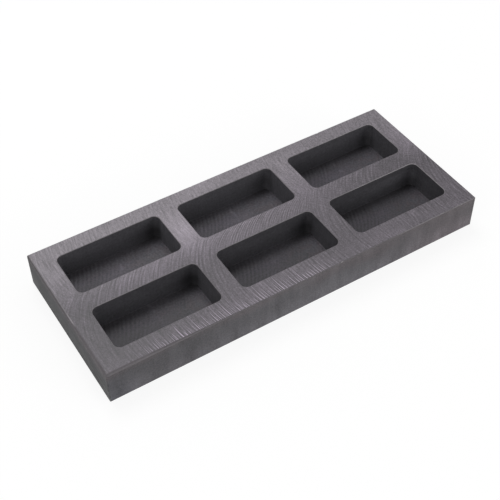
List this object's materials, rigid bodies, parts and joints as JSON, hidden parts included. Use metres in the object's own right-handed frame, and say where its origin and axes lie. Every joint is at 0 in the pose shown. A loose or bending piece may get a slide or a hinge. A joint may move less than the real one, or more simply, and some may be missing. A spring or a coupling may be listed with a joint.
{
  "type": "graphite ingot mould",
  "caption": "Flat rectangular graphite block with milled round-cornered pockets in its top face, for casting small metal bars.",
  "frame": {"origin": "middle of the underside", "axes": "+X along the long side, +Z out of the top face that the pockets are milled into, -Y towards the wider long margin"},
  "size_m": [0.22, 0.09, 0.02],
  "materials": {
    "graphite": "satin, machined"
  },
  "bodies": {
    "root": {"mould_block": "graphite"}
  },
  "joints": []
}
